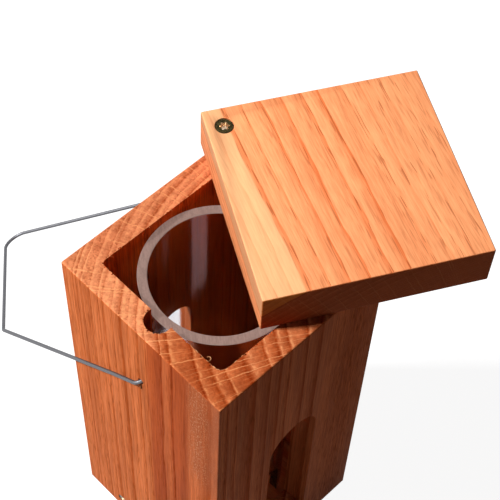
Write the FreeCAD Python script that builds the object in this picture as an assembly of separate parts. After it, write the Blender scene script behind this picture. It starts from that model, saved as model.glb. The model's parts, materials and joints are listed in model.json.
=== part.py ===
import FreeCAD, Part
import math
import os

# A square hollow oak post with a clear seed tube inside, a lid that swivels on a corner screw
# and a wire hanger. Millimetres, +Z up, origin at the centre of the post's underside.
# -Y is the front face and +Y the back face, each with a feed slot. The hanger turns on X.

Vector = FreeCAD.Vector
X_AXIS = Vector(1, 0, 0)
Y_AXIS = Vector(0, 1, 0)
Z_AXIS = Vector(0, 0, 1)

# Seed tube, a stock size of clear acrylic tube
tube_outer_d = 80.0
tube_wall = 5.0
tube_length = 214.0
tube_rim_chamfer = 0.4
notch_height = 40.0

# Hollow post
tube_side_gap = 1.3
tube_rest_gap = 0.1
post_wall = 13.7
cavity_front_r = 4.5
cavity_back_r = 2.5
post_edge_r = 1.0
rim_drop = 6.0

# Floor board, let into the foot of the post
floor_recess = 2.0
floor_thickness = 18.0
floor_side_gap = 0.2
drain_hole_d = 6.0
drain_hole_pitch = 36.0

# Feed slots, splayed outwards under a round arch
slot_mouth_width = 34.0
slot_throat_width = 29.5
slot_top_drop = 90.0
sill_lip = 6.0
sill_fall = 2.0

# Lid
lid_thickness = 25.0
lid_overhang = 1.4
lid_edge_r = 0.8
lid_seat_gap = 0.2
lid_open_angle = 61.0

# Lid screw, countersunk
lid_screw_inset_x = 9.9
lid_screw_inset_y = 7.8
lid_screw_head_d = 9.0
lid_screw_shank_d = 4.5
lid_screw_length = 60.0
lid_screw_sink = 0.3
lid_hole_gap = 0.3

# Floor screws, countersunk
floor_screw_head_d = 8.0
floor_screw_shank_d = 4.0
floor_screw_length = 40.0
floor_screw_sink = 0.3
floor_screw_pitch = 50.0

# Form that both kinds of screw share
screw_rim = 0.4
screw_tip_length = 6.0
screw_seat_gap = 0.05
recess_depth = 1.8
recess_core_share = 0.37
recess_lobe_share = 0.15

# Hanger wire
wire_d = 2.0
pivot_drop = 46.0
pivot_hole_d = 3.2
pivot_mouth_chamfer = 0.6
leg_face_gap = 0.3
leg_flare = 3.2
leg_bow = 0.6
bow_length = 25.0
leg_length = 146.5
gable_height = 96.5
hook_length = 5.2
hook_set = 1.7
hook_bend_r = 2.0
root_bend_r = 4.5
bow_bend_r = 30.0
shoulder_bend_r = 4.0
peak_bend_r = 9.5
hanger_droop_angle = 35.86
hanger_twist_angle = 3.3

# Grooves inside the side walls that take the hanger's hooked ends
groove_r = 7.0
groove_set = 1.7
groove_forward = 0.9
groove_below_pivot = 12.0

# Room that a cutting shape runs past the faces it cuts
cut_past = 1.0

# Sizes and places worked out from the ones above
cavity_side = tube_outer_d + 2 * tube_side_gap
cavity_half = cavity_side / 2
post_side = cavity_side + 2 * post_wall
post_half = post_side / 2
floor_top = floor_recess + floor_thickness
tube_top = floor_top + tube_length
tube_shift = tube_side_gap - tube_rest_gap
post_height = tube_top + rim_drop
slot_top = post_height - slot_top_drop
sill_height = floor_top + sill_lip
lid_side = post_side + 2 * lid_overhang
lid_bottom = post_height + lid_seat_gap
lid_top = lid_bottom + lid_thickness
lid_screw_x = post_half - lid_screw_inset_x
lid_screw_y = post_half - lid_screw_inset_y
floor_screw_height = floor_recess + floor_thickness / 2
wire_r = wire_d / 2
pivot_height = post_height - pivot_drop
leg_root_x = post_half + leg_face_gap + wire_r
shoulder_x = leg_root_x + leg_flare
bow_x = leg_root_x + leg_flare * bow_length / leg_length
hook_x = cavity_half + hook_set
apex_length = leg_length + gable_height


def rounded_box(size_x, size_y, size_z, bottom, edge_r):
    """A box centred on Z with every edge rounded."""
    corner = Vector(-size_x / 2, -size_y / 2, bottom)
    box = Part.makeBox(size_x, size_y, size_z, corner)
    return box.makeFillet(edge_r, box.Edges)


def square_prism(side, front_r, back_r, bottom, height):
    """An upright square prism centred on Z, its front and back upright edges rounded."""
    half = side / 2
    prism = Part.makeBox(side, side, height, Vector(-half, -half, bottom))
    for y, corner_r in ((-half, front_r), (half, back_r)):
        upright = []
        for edge in prism.Edges:
            low, high = [vertex.Point for vertex in edge.Vertexes]
            at_corner = abs(abs(low.x) - half) < 0.001 and abs(low.y - y) < 0.001
            if at_corner and abs(high.z - low.z) > height / 2:
                upright.append(edge)
        prism = prism.makeFillet(corner_r, upright)
    return prism


def arch_outline(y, half_width, sill, top):
    """A closed outline at one depth y: a level sill, two jambs and a round arch."""
    spring = top - half_width
    slant = half_width * math.sqrt(0.5)
    foot_right = Vector(half_width, y, sill)
    foot_left = Vector(-half_width, y, sill)
    spring_right = Vector(half_width, y, spring)
    spring_left = Vector(-half_width, y, spring)
    crown = Vector(0, y, top)
    edges = [
        Part.LineSegment(foot_left, foot_right).toShape(),
        Part.LineSegment(foot_right, spring_right).toShape(),
        Part.Arc(spring_right, Vector(slant, y, spring + slant), crown).toShape(),
        Part.Arc(crown, Vector(-slant, y, spring + slant), spring_left).toShape(),
        Part.LineSegment(spring_left, foot_left).toShape(),
    ]
    return Part.Wire(edges)


def feed_slot():
    """The splayed slot through the front wall, run past both faces of the wall."""
    splay = (slot_mouth_width - slot_throat_width) / 2 / post_wall
    fall = sill_fall / post_wall
    throat_half = slot_throat_width / 2 - splay * cut_past
    mouth_half = slot_mouth_width / 2 + splay * cut_past
    throat_sill = sill_height + fall * cut_past
    mouth_sill = sill_height - fall * (post_wall + cut_past)
    throat = arch_outline(-cavity_half + cut_past, throat_half, throat_sill, slot_top)
    mouth = arch_outline(-post_half - cut_past, mouth_half, mouth_sill, slot_top)
    return Part.makeLoft([throat, mouth], True, True)


def screw_depths(head_d, shank_d):
    """How far below the head's top its rim and its cone end."""
    return screw_rim, screw_rim + (head_d - shank_d) / 2


def star_recess(head_d):
    """The six-lobed recess in a screw's head: a round middle with six smaller rounds on its edge."""
    core_r = head_d * recess_core_share / 2
    lobe_r = head_d * recess_lobe_share / 2
    depth = recess_depth + cut_past
    low = Vector(0, 0, -recess_depth)
    rounds = [Part.makeCylinder(core_r, depth, low)]
    for index in range(6):
        angle = math.radians(60 * index)
        place = Vector(core_r * math.cos(angle), core_r * math.sin(angle), 0)
        rounds.append(Part.makeCylinder(lobe_r, depth, low + place))
    return rounds


def wood_screw(head_d, shank_d, length):
    """A countersunk screw pointing down, with the top of its head at the origin."""
    rim_end, cone_end = screw_depths(head_d, shank_d)
    head_r = head_d / 2
    shank_r = shank_d / 2
    tip_start = length - screw_tip_length
    profile = [
        Vector(0, 0, 0),
        Vector(head_r, 0, 0),
        Vector(head_r, 0, -rim_end),
        Vector(shank_r, 0, -cone_end),
        Vector(shank_r, 0, -tip_start),
        Vector(0, 0, -length),
        Vector(0, 0, 0),
    ]
    body = Part.Face(Part.makePolygon(profile)).revolve(Vector(), Z_AXIS, 360)
    return body.cut(star_recess(head_d))


def screw_hole(head_d, shank_d, length, sink, gap):
    """The countersunk hole for a screw whose head lies sunk below the origin."""
    rim_end, cone_end = screw_depths(head_d, shank_d)
    head_r = head_d / 2 + gap
    shank_r = shank_d / 2 + gap
    profile = [
        Vector(0, 0, cut_past),
        Vector(head_r, 0, cut_past),
        Vector(head_r, 0, -sink - rim_end),
        Vector(shank_r, 0, -sink - cone_end),
        Vector(shank_r, 0, -sink - length),
        Vector(0, 0, -sink - length),
        Vector(0, 0, cut_past),
    ]
    return Part.Face(Part.makePolygon(profile)).revolve(Vector(), Z_AXIS, 360)


def floor_screw_hole():
    """The countersunk hole for one floor screw."""
    return screw_hole(floor_screw_head_d, floor_screw_shank_d, floor_screw_length,
                      floor_screw_sink, screw_seat_gap)


def at_lid_corner(shape):
    """A screw or its hole, moved to the corner that the lid turns on."""
    placed = shape.copy()
    placed.translate(Vector(lid_screw_x, lid_screw_y, lid_top))
    return placed


def at_side_faces(shape):
    """Four copies of a floor screw or its hole, pointing in from the two side faces."""
    copies = []
    for side in (-1, 1):
        for along in (-0.5, 0.5):
            placed = shape.copy()
            placed.rotate(Vector(), Y_AXIS, 90 * side)
            placed.translate(Vector(side * post_half, along * floor_screw_pitch, floor_screw_height))
            copies.append(placed)
    return copies


def pivot_hole(side):
    """The hole that carries one end of the hanger, with its worn mouth."""
    radius = pivot_hole_d / 2
    start = Vector(side * cavity_half, 0, pivot_height)
    hole = Part.makeCylinder(radius, post_wall + cut_past, start, X_AXIS * side)
    mouth_start = Vector(side * (post_half - pivot_mouth_chamfer), 0, pivot_height)
    mouth_depth = 2 * pivot_mouth_chamfer
    mouth = Part.makeCone(radius, radius + mouth_depth, mouth_depth, mouth_start, X_AXIS * side)
    return hole.fuse(mouth)


def hook_groove(side):
    """The round groove drilled down one side wall, open to the cavity and at the top."""
    bottom = pivot_height - groove_below_pivot
    height = post_height + cut_past - bottom
    start = Vector(side * (cavity_half + groove_set), -groove_forward, bottom)
    return Part.makeCylinder(groove_r, height, start)


def hollow_post():
    """The whole post before it is parted along its glue line."""
    post = rounded_box(post_side, post_side, post_height, 0, post_edge_r)
    front_slot = feed_slot()
    back_slot = front_slot.copy()
    back_slot.rotate(Vector(), Z_AXIS, 180)
    height = post_height + 2 * cut_past
    cuts = [square_prism(cavity_side, cavity_front_r, cavity_back_r, -cut_past, height)]
    cuts += [front_slot, back_slot]
    for side in (-1, 1):
        cuts += [hook_groove(side), pivot_hole(side)]
    cuts += at_side_faces(floor_screw_hole())
    seat_length = lid_screw_length - lid_thickness + cut_past
    seat_start = Vector(lid_screw_x, lid_screw_y, post_height - seat_length)
    cuts.append(Part.makeCylinder(lid_screw_shank_d / 2 + screw_seat_gap, seat_length + cut_past, seat_start))
    return post.cut(cuts)


def post_halves():
    """The front and back halves, parted at y = 0."""
    post = hollow_post()
    depth = post_half + cut_past
    width = post_side + 2 * cut_past
    height = post_height + 2 * cut_past
    front_room = Part.makeBox(width, depth, height, Vector(-width / 2, -depth, -cut_past))
    back_room = Part.makeBox(width, depth, height, Vector(-width / 2, 0, -cut_past))
    return post.common(front_room), post.common(back_room)


def floor_board():
    """The board that closes the foot of the post, with four drain holes."""
    side = cavity_side - 2 * floor_side_gap
    board = square_prism(side, cavity_front_r, cavity_back_r, floor_recess, floor_thickness)
    cuts = at_side_faces(floor_screw_hole())
    for across in (-0.5, 0.5):
        for along in (-0.5, 0.5):
            start = Vector(across * drain_hole_pitch, along * drain_hole_pitch, floor_recess - cut_past)
            cuts.append(Part.makeCylinder(drain_hole_d / 2, floor_thickness + 2 * cut_past, start))
    return board.cut(cuts)


def floor_screws():
    """The four screws that hold the floor board between the side walls."""
    screw = wood_screw(floor_screw_head_d, floor_screw_shank_d, floor_screw_length)
    screw.translate(Vector(0, 0, -floor_screw_sink))
    return Part.makeCompound(at_side_faces(screw))


def feed_tube():
    """The clear tube, loose on the floor board and pushed towards the left and back walls.

    It is notched at the front and the back.
    """
    outer_r = tube_outer_d / 2
    inner_r = outer_r - tube_wall
    edge = tube_rim_chamfer
    profile = [
        Vector(inner_r, 0, floor_top),
        Vector(outer_r, 0, floor_top),
        Vector(outer_r, 0, tube_top - edge),
        Vector(outer_r - edge, 0, tube_top),
        Vector(inner_r + edge, 0, tube_top),
        Vector(inner_r, 0, tube_top - edge),
        Vector(inner_r, 0, floor_top),
    ]
    tube = Part.Face(Part.makePolygon(profile)).revolve(Vector(), Z_AXIS, 360)
    front = -outer_r - cut_past
    outline = arch_outline(front, slot_throat_width / 2, floor_top - cut_past, floor_top + notch_height)
    notch = Part.Face(outline).extrude(Y_AXIS * (-2 * front))
    tube = tube.cut(notch)
    tube.translate(Vector(-tube_shift, tube_shift, 0))
    return tube


def lid():
    """The lid board, swivelled open about its corner screw."""
    board = rounded_box(lid_side, lid_side, lid_thickness, lid_bottom, lid_edge_r)
    hole = screw_hole(lid_screw_head_d, lid_screw_shank_d, lid_screw_length, lid_screw_sink, lid_hole_gap)
    board = board.cut(at_lid_corner(hole))
    board.rotate(Vector(lid_screw_x, lid_screw_y, 0), Z_AXIS, lid_open_angle)
    return board


def lid_screw():
    """The screw through the lid's corner, its head just below the lid's top."""
    screw = wood_screw(lid_screw_head_d, lid_screw_shank_d, lid_screw_length)
    screw.translate(Vector(0, 0, -lid_screw_sink))
    return at_lid_corner(screw)


def hanger_point(x, length, droop):
    """A point of the hanger, by its distance from the pivot axis and its angle below level."""
    angle = math.radians(droop)
    return Vector(x, length * math.cos(angle), pivot_height - length * math.sin(angle))


def hanger_corners():
    """The hanger's corners from one hooked end to the other, each with its bend radius."""
    corners = []
    for side in (-1, 1):
        droop = hanger_droop_angle - side * hanger_twist_angle / 2
        corners.append([
            (hanger_point(side * hook_x, hook_length, droop), 0),
            (hanger_point(side * hook_x, 0, droop), hook_bend_r),
            (hanger_point(side * (leg_root_x + leg_bow), 0, droop), root_bend_r),
            (hanger_point(side * bow_x, bow_length, droop), bow_bend_r),
            (hanger_point(side * shoulder_x, leg_length, droop), shoulder_bend_r),
        ])
    near, far = corners
    peak = (hanger_point(0, apex_length, hanger_droop_angle), peak_bend_r)
    return near + [peak] + far[::-1]


def bent_path(corners):
    """Straight runs joined by tangent arcs, as one wire."""
    edges = []
    start = corners[0][0]
    for index in range(1, len(corners) - 1):
        point, bend_r = corners[index]
        back = (corners[index - 1][0] - point).normalize()
        ahead = (corners[index + 1][0] - point).normalize()
        half_angle = back.getAngle(ahead) / 2
        tangent = bend_r / math.tan(half_angle)
        inward = (back + ahead).normalize()
        bend_in = point + back * tangent
        bend_out = point + ahead * tangent
        bend_mid = point + inward * (bend_r / math.sin(half_angle) - bend_r)
        edges.append(Part.LineSegment(start, bend_in).toShape())
        edges.append(Part.Arc(bend_in, bend_mid, bend_out).toShape())
        start = bend_out
    edges.append(Part.LineSegment(start, corners[-1][0]).toShape())
    return Part.Wire(edges)


def bail():
    """The hanger, one length of round wire bent to a gable."""
    corners = hanger_corners()
    path = bent_path(corners)
    start = corners[0][0]
    section = Part.Wire(Part.makeCircle(wire_r, start, corners[1][0] - start))
    solid = path.makePipeShell([section], True, False)
    expected = math.pi * wire_r ** 2 * path.Length
    print("hanger wire length", round(path.Length, 2), "volume over section times length",
          round(solid.Volume / expected, 5))
    return solid


def main():
    """Writes one STEP file for each piece."""
    os.makedirs("parts", exist_ok=True)
    front_half, back_half = post_halves()
    pieces = {
        "post_front_half": front_half,
        "post_back_half": back_half,
        "floor_board": floor_board(),
        "floor_screws": floor_screws(),
        "feed_tube": feed_tube(),
        "lid": lid(),
        "lid_screw": lid_screw(),
        "bail": bail(),
    }
    for name, shape in pieces.items():
        box = shape.BoundBox
        print(name, "solids", len(shape.Solids), "valid", shape.isValid(), "volume", round(shape.Volume, 1),
              "x", round(box.XMin, 2), round(box.XMax, 2), "y", round(box.YMin, 2), round(box.YMax, 2),
              "z", round(box.ZMin, 2), round(box.ZMax, 2))
        shape.exportStep("parts/" + name + ".step")


main()
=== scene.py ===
import json
import math

import bmesh
import bpy
from mathutils import Matrix, Vector


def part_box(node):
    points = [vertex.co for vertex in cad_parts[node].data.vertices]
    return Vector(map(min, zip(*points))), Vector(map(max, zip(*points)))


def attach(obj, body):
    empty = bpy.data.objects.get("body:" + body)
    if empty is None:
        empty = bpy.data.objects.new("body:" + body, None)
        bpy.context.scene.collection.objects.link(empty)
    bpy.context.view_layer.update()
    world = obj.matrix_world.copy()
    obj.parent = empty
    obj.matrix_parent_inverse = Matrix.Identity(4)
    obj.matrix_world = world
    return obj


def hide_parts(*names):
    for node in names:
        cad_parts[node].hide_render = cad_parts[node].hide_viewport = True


# A square hollow oak post with a clear seed tube inside, a lid that swivels on a corner screw
# and a wire hanger. Metres, in the frame of the packed model.
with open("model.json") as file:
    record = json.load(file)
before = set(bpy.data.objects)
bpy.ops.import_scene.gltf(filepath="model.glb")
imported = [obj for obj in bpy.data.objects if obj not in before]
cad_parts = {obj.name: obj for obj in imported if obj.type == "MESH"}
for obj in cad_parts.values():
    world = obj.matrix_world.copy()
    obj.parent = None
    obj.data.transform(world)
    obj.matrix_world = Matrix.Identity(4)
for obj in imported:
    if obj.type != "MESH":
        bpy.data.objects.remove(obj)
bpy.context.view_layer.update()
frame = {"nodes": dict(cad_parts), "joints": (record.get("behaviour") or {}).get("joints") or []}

bl_info = {
    "name": "Silo bird feeder",
    "version": (1, 0, 0),
    "blender": (4, 5, 0),
    "location": "3D View > Sidebar > Feeder",
    "description": "Builds an oak silo bird feeder around its packed solids",
    "category": "Object",
}

MM = 0.001
WHITE = (1.0, 1.0, 1.0, 1.0)
UP = Vector((0, 0, 1))
# A face counts as facing a direction where its normal has at least this share along it
FACING = 0.62
# Steps of each arc of the cavity's edge
EDGE_STEPS = 6

# Places read from the packed model
post_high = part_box("post_back_half")[1]
post_half = post_high.x
post_top = post_high.z
tube_low, tube_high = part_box("feed_tube")
tube_middle = (tube_low + tube_high) / 2
lid_low, lid_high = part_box("lid")
joints = {joint["name"]: joint for joint in frame["joints"]}
lid_screw_place = Vector(joints["lid_swivel"]["pos_m"])
lid_turn = -math.radians(joints["lid_swivel"]["range_deg"][0])
pivot_height = joints["bail_swing"]["pos_m"][2]
lid_along = Vector((math.cos(lid_turn), math.sin(lid_turn), 0))
lid_across = Vector((-math.sin(lid_turn), math.cos(lid_turn), 0))


def length(name, size, description):
    """A size, given in mm, that shows in the sidebar."""
    return bpy.props.FloatProperty(
        name=name, description=description, default=size * MM, min=0, precision=5, unit="LENGTH")


def share(name, default, description):
    """A share of one that shows in the sidebar as a slider."""
    return bpy.props.FloatProperty(
        name=name, description=description, default=default, min=0, max=1, subtype="FACTOR")


def angle(name, degrees, description):
    """An angle that shows in the sidebar in degrees."""
    return bpy.props.FloatProperty(
        name=name, description=description, default=math.radians(degrees), precision=3, subtype="ANGLE")


def colour(name, default, description):
    """A linear colour that shows in the sidebar."""
    return bpy.props.FloatVectorProperty(
        name=name, description=description, default=default, min=0, max=1, size=3, subtype="COLOR")


class FeederSizes(bpy.types.PropertyGroup):
    """Sizes of the feeder's pieces."""

    wall: length("Post wall", 13.7, "Thickness of the post's walls")
    front_corner: length("Front corner", 4.5, "Radius of the cavity's upright front corners")
    back_corner: length("Back corner", 2.5, "Radius of the cavity's upright back corners")
    groove: length("Hook groove", 7, "Radius of the grooves for the hanger's ends")
    groove_set: length("Groove set", 1.7, "How deep the grooves' axes lie in the side walls")
    groove_forward: length("Groove forward", 0.9, "How far the grooves lie towards the front")
    chip: length("Edge chips", 0.7, "Size of the chips torn from the cavity's edge")
    chip_spacing: length("Chip spacing", 1.5, "Distance between torn chips")
    splinter: length("Splinters", 1.5, "Length of the fibres left on the cavity's edge")
    splinter_spacing: length("Splinter spacing", 1.3, "Distance between fibres")
    fringe: length("Fringe", 1.0, "Length of the fibres at the cavity's ragged front corner")
    fringe_spacing: length("Fringe spacing", 0.9, "Distance between the fringe's fibres")
    lip: length("Torn lip", 0.6, "Thickness of the torn lip at the cavity's ragged front corner")
    tube_wall: length("Tube wall", 5, "Wall thickness of the seed tube")
    tube_chamfer: length("Tube rim chamfer", 0.4, "Chamfer on the sawn upper rim")
    notch_width: length("Tube notch width", 29.5, "Width of the openings at the tube's foot")
    notch_height: length("Tube notch height", 40, "Height of the openings at the tube's foot")
    lid_head: length("Lid screw head", 9, "Diameter of the lid screw's head")
    lid_shank: length("Lid screw shank", 4.5, "Diameter of the lid screw's shank")
    lid_screw: length("Lid screw length", 60, "Length of the lid screw")
    floor_head: length("Floor screw head", 8, "Diameter of the floor screws' heads")
    floor_shank: length("Floor screw shank", 4, "Diameter of the floor screws' shanks")
    floor_screw: length("Floor screw length", 40, "Length of the floor screws")
    floor_pitch: length("Floor screw pitch", 50, "Distance between two floor screws of a side")
    floor_height: length("Floor screw height", 11, "Height of the floor screws above the foot")
    screw_sink: length("Screw sink", 0.3, "Depth of the screw heads below the wood")
    hole_ease: length("Hole ease", 0.7, "Width of the eased edge around the lid's screw")
    wire: length("Wire", 2, "Diameter of the hanger's wire")
    leg: length("Hanger leg", 146.5, "Length of the hanger's legs")
    leg_flare: length("Leg flare", 3.2, "How far each leg leans outwards")
    leg_gap: length("Leg gap", 0.3, "Room between a leg and the post")
    leg_bow: length("Leg bow", 0.6, "How far each leg bows out at its pivot")
    bow_length: length("Bow length", 25, "Length of the bowed part of each leg")
    gable: length("Hanger gable", 96.5, "Height of the hanger's gable")
    hook: length("Hook", 5.2, "Length of the hanger's hooked ends")
    hook_set: length("Hook set", 1.7, "How deep the hooks lie in their grooves")
    droop: angle("Hanger droop", 35.86, "Angle of the hanger below level")
    twist: angle("Hanger twist", 3.3, "Angle between the hanger's two legs")


class OakColours(bpy.types.PropertyGroup):
    """Colours of the oak."""

    lid_late: colour("Lid summer wood", (0.92, 0.366, 0.156), "Dense bands of the lid")
    lid_early: colour("Lid spring wood", (0.75, 0.185, 0.057), "Open bands of the lid")
    lid_sap: colour("Lid sapwood", (0.92, 0.458, 0.215), "Pale strip along the lid's edge")
    # Painted shade: darker copies of the lid's colours for its long sides, standing in for the lesser light
    # that falls on them
    lid_shaded_side_late: colour("Lid side light", (0.76, 0.285, 0.120), "Dense bands on the lid's long sides")
    lid_shaded_side_early: colour("Lid side dark", (0.56, 0.145, 0.048), "Open bands on the lid's long sides")
    lid_shaded_side_sap: colour("Lid side sapwood", (0.55, 0.26, 0.125), "Sapwood on the lid's long sides")
    lid_end_late: colour("Lid end light", (0.40, 0.085, 0.024), "Dense bands on the lid's end")
    lid_end_early: colour("Lid end dark", (0.29, 0.055, 0.014), "Open bands on the lid's end")
    lid_end_sap: colour("Lid end sapwood", (0.58, 0.165, 0.032), "Sapwood on the lid's end")
    post_late: colour("Post summer wood", (0.62, 0.165, 0.051), "Dense bands of the post")
    post_early: colour("Post spring wood", (0.44, 0.082, 0.014), "Open bands of the post")
    inner_late: colour("Cavity light", (0.83, 0.145, 0.017), "Dense bands inside the post")
    inner_early: colour("Cavity dark", (0.63, 0.095, 0.010), "Open bands inside the post")
    end_late: colour("End grain light", (0.75, 0.268, 0.118), "Dense bands where the wood is cut across")
    end_early: colour("End grain dark", (0.47, 0.110, 0.035), "Open bands where the wood is cut across")
    core_long: colour("Core of the post", (0.88, 0.82, 0.88), "Tint of the wide-ringed core")
    core_end: colour("Core end grain", (0.54, 0.255, 0.07), "Tint of the core where it is cut across")
    ray: colour("Rays", (0.90, 0.38, 0.155), "Pale rays across the rings")
    pore: colour("Pores", (0.27, 0.060, 0.016), "Open vessels in the spring wood")
    fibre_late: colour("Torn fibre light", (0.80, 0.42, 0.20), "Pale side of torn fibres")
    fibre_early: colour("Torn fibre dark", (0.56, 0.22, 0.08), "Dark side of torn fibres")
    torn_dull: colour("Torn grain", (0.33, 0.085, 0.034), "Grain that the plane tore beside a corner")
    torn_fleck: colour("Torn flecks", (0.56, 0.26, 0.13), "Pale flecks in the torn grain")
    heart_streak: colour("Heart streak", (0.68, 0.50, 0.37), "Tint of the streaks down the left face")
    back_rim: colour("Back of the rim", (0.86, 0.78, 0.76), "Tint of the end grain along the back")
    front_rim: colour("Front of the rim", (0.88, 0.80, 0.72), "Tint of the end grain at the front left")
    # Painted shade: this colour darkens the wood in the hanger's grooves, where shadow falls
    painted_groove_shade: colour("Drilled wood", (0.26, 0.035, 0.006), "Wood scorched by the drill in the grooves")


class FittingColours(bpy.types.PropertyGroup):
    """Colours of the wire, the screws and the tube."""

    wire: colour("Wire", (0.16, 0.161, 0.174), "Drawn steel")
    wire_dull: colour("Wire dull", (0.125, 0.126, 0.136), "Duller streaks on the wire")
    # Screw colours: the head is darkened as painted shade, standing in for the dark surroundings that it
    # reflects, and the recess is a bright copy of the same metal for painted glints
    screw: colour("Screw", (0.110, 0.085, 0.032), "Yellow passivated steel under a dark film")
    screw_dark: colour("Screw dark", (0.012, 0.008, 0.003), "The film where it is thickest")
    recess: colour("Screw recess", (1.0, 0.86, 0.68), "Bare metal in the recess")
    recess_dark: colour("Screw recess dark", (0.34, 0.15, 0.045), "Film left in the recess")
    tube: colour("Tube", (0.85, 0.79, 0.82), "Clear acrylic")
    tube_glint: colour("Tube glint", (0.85, 0.08, 0.03), "Tint of the reflections on the tube")
    # The rim's colour also feeds its painted glow
    rim: colour("Tube rim", (0.345, 0.221, 0.186), "Sawn acrylic")


class StageSettings(bpy.types.PropertyGroup):
    """Light and camera."""

    key_power: bpy.props.FloatProperty(
        name="Key power", description="Power of the soft light in watts", default=260.0, min=0, unit="POWER")
    key_side: length("Key side", 470, "Side of the soft light")
    key_distance: length("Key distance", 4000, "Distance of the soft light")
    ambient: share("Ambient", 0.055, "Light from all around")
    ambient_tint: colour("Ambient tint", (1.0, 0.89, 0.87), "Colour of the light from all around")
    floor_grey: share("Floor", 0.24, "Share of the light that the floor sends back")
    lens: bpy.props.FloatProperty(
        name="Lens", description="Focal length on a 36 mm wide picture", default=103.086, min=1,
        unit="CAMERA")


# Node trees

class Value:
    """One output of a node, which plain arithmetic turns into further nodes."""

    def __init__(self, graph, socket):
        self.graph = graph
        self.socket = socket

    def __add__(self, other):
        return self.graph.math("ADD", self, other)

    def __sub__(self, other):
        return self.graph.math("SUBTRACT", self, other)

    def __rsub__(self, other):
        return self.graph.math("SUBTRACT", other, self)

    def __mul__(self, other):
        return self.graph.math("MULTIPLY", self, other)

    def __truediv__(self, other):
        return self.graph.math("DIVIDE", self, other)

    def __rtruediv__(self, other):
        return self.graph.math("DIVIDE", other, self)


def has_parts(value):
    """Whether a value is a vector or a colour, and no plain number."""
    if isinstance(value, Value):
        return value.socket.type in ("VECTOR", "RGBA")
    return isinstance(value, tuple)


class Graph:
    """Short calls for adding and joining the nodes of one tree."""

    def __init__(self, tree):
        self.tree = tree

    def put(self, socket, value):
        """Joins a socket to another one, or writes a plain value on it."""
        if isinstance(value, Value):
            value = value.socket
        if isinstance(value, bpy.types.NodeSocket):
            self.tree.links.new(value, socket)
        else:
            socket.default_value = value

    def fill(self, node, **values):
        """Sets inputs by name, with an underscore for a space."""
        for name, value in values.items():
            self.put(node.inputs[name.replace("_", " ")], value)
        return node

    def add(self, kind, **values):
        """Adds a node. Names in small letters are its settings, the others its inputs."""
        node = self.tree.nodes.new(kind)
        inputs = {}
        for name, value in values.items():
            if name.islower():
                setattr(node, name, value)
            else:
                inputs[name] = value
        return self.fill(node, **inputs)

    def made(self, kind, output=0, **values):
        """Adds a node and gives one of its outputs."""
        return Value(self, self.add(kind, **values).outputs[output])

    def math(self, operation, *values, **settings):
        """Reckons with plain numbers, or with vectors where one of the values is a vector or a colour."""
        vectors = any(has_parts(value) for value in values)
        kind = "ShaderNodeVectorMath" if vectors else "ShaderNodeMath"
        node = self.add(kind, operation=operation, **settings)
        for socket, value in zip(node.inputs, values):
            self.put(socket, value)
        to_number = vectors and operation in ("LENGTH", "DOT_PRODUCT")
        return Value(self, node.outputs["Value" if to_number else 0])

    def scaled(self, vector, factor):
        return self.made("ShaderNodeVectorMath", operation="SCALE", Vector=vector, Scale=factor)

    def parts(self, vector):
        return [Value(self, socket) for socket in self.add("ShaderNodeSeparateXYZ", Vector=vector).outputs]

    def joined(self, x, y, z):
        return self.made("ShaderNodeCombineXYZ", X=x, Y=y, Z=z)

    def noise(self, vector, detail, roughness=0.5, output=0):
        return self.made("ShaderNodeTexNoise", output, noise_dimensions="3D", Vector=vector, Scale=1.0,
                         Detail=detail, Roughness=roughness)

    def step(self, value, low, high):
        """0 below low, 1 above high, and a smooth slope between."""
        return self.made("ShaderNodeMapRange", "Result", interpolation_type="SMOOTHSTEP", Value=value,
                         From_Min=low, From_Max=high)

    def mix(self, factor, first, second):
        node = self.add("ShaderNodeMix", data_type="RGBA", clamp_factor=True)
        for index, value in ((0, factor), (6, first), (7, second)):
            self.put(node.inputs[index], value)
        return Value(self, node.outputs[2])

    def random(self, low, high, seed):
        """A random number or vector for each point."""
        vectors = has_parts(low)
        data_type = "FLOAT_VECTOR" if vectors else "FLOAT"
        node = self.add("FunctionNodeRandomValue", data_type=data_type, Seed=seed)
        first = 0 if vectors else 2
        self.put(node.inputs[first], low)
        self.put(node.inputs[first + 1], high)
        return Value(self, node.outputs[0 if vectors else 1])

    def attribute(self, label):
        """A number that each point or face holds under a name."""
        return self.made("GeometryNodeInputNamedAttribute", "Attribute", data_type="FLOAT", Name=label)

    def spots(self, mesh, spacing):
        """Points spaced along a mesh of edges."""
        curve = self.made("GeometryNodeMeshToCurve", Mesh=mesh)
        return self.made("GeometryNodeCurveToPoints", "Points", mode="LENGTH", Curve=curve, Length=spacing)

    def moved(self, geometry, offset):
        return self.made("GeometryNodeSetPosition", Geometry=geometry, Offset=offset)

    def turned(self, rotation, angles):
        """A rotation, turned further about its own axes."""
        turn = self.made("FunctionNodeEulerToRotation", Euler=angles)
        return self.made("FunctionNodeRotateRotation", rotation_space="LOCAL", Rotation=rotation,
                         Rotate_By=turn)

    def swept(self, curve, sides, radius, **more):
        """A bar with a round section along a curve."""
        section = self.made("GeometryNodeCurvePrimitiveCircle", mode="RADIUS", Resolution=sides,
                            Radius=radius)
        return self.made("GeometryNodeCurveToMesh", Curve=curve, Profile_Curve=section, Fill_Caps=True,
                         **more)

    def dressed(self, geometry, material):
        """Realized geometry in a material."""
        real = self.made("GeometryNodeRealizeInstances", Geometry=geometry)
        return self.made("GeometryNodeSetMaterial", Geometry=real, Material=material)


SOCKET_KINDS = {float: "Float", int: "Int", tuple: "Color"}
SURFACE = {"Color": "Color", "Height": "Float", "Roughness": "Float"}
GEOMETRY = {"Geometry": "Geometry"}


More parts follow.
